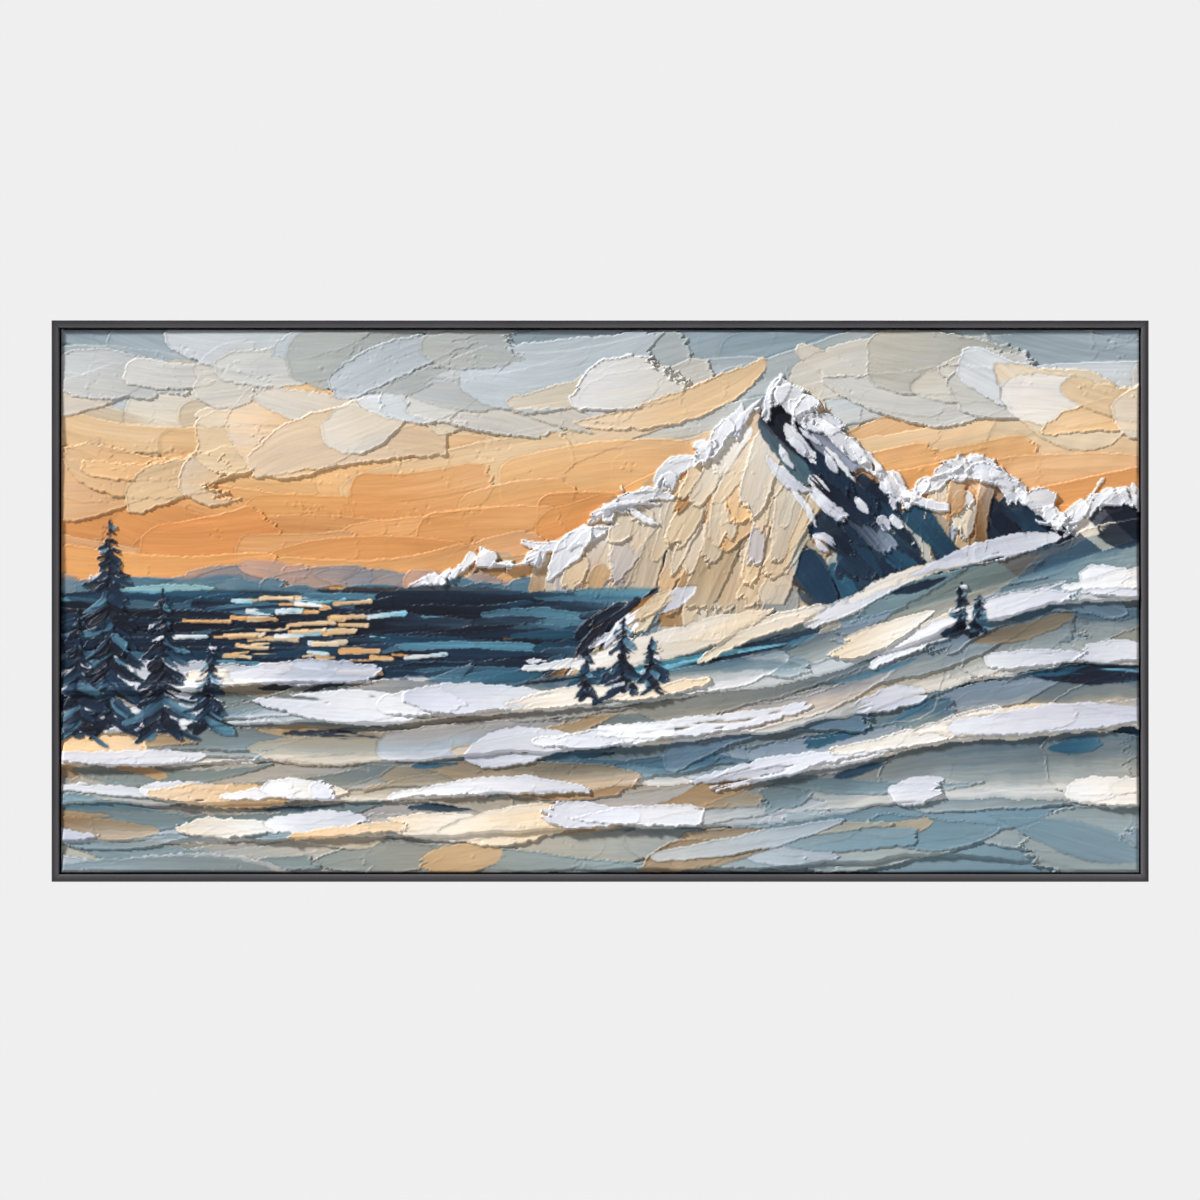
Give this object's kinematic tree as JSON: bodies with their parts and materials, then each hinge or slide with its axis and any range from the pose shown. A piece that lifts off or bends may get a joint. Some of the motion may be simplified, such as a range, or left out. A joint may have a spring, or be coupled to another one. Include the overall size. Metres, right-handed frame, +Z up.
{
  "type": "framed oil painting",
  "caption": "Wide palette-knife oil painting in thick relief on stretched canvas, in a slim charcoal floater frame, hung by sawtooth hangers.",
  "frame": {"origin": "middle of the top rail's rear face, where the picture meets the wall", "axes": "+X to the right along the top rail as seen from the front, +Y into the wall, +Z up; the picture faces -Y"},
  "size_m": [1.221, 0.0345, 0.6249],
  "materials": {
    "oil_paint": "thick oil paint laid on with a knife: white, cream, peach, orange, grey-blue, teal and navy, satin, over primed canvas",
    "frame_lacquer": "charcoal satin lacquer on wood, with a fine brushed grain",
    "pine": "planed bare pine",
    "canvas": "raw cotton canvas, plain weave",
    "zinc_steel": "zinc-plated steel"
  },
  "bodies": {
    "root": {"painted_canvas": "oil_paint", "frame_rail_top": "frame_lacquer", "frame_rail_right": "frame_lacquer", "frame_rail_bottom": "frame_lacquer", "frame_rail_left": "frame_lacquer", "stretcher_bar_top": "pine", "stretcher_bar_right": "pine", "stretcher_bar_bottom": "pine", "stretcher_bar_left": "pine", "stretcher_brace": "pine", "frame_screw_top_1": "zinc_steel", "frame_screw_top_2": "zinc_steel", "frame_screw_top_3": "zinc_steel", "frame_screw_top_4": "zinc_steel", "frame_screw_right_1": "zinc_steel", "frame_screw_bottom_1": "zinc_steel", "frame_screw_bottom_2": "zinc_steel", "frame_screw_bottom_3": "zinc_steel", "frame_screw_bottom_4": "zinc_steel", "frame_screw_left_1": "zinc_steel", "hanger_left": "zinc_steel", "hanger_right": "zinc_steel", "hanger_nail_left_1": "zinc_steel", "hanger_nail_left_2": "zinc_steel", "hanger_nail_right_1": "zinc_steel", "hanger_nail_right_2": "zinc_steel"}
  },
  "joints": []
}
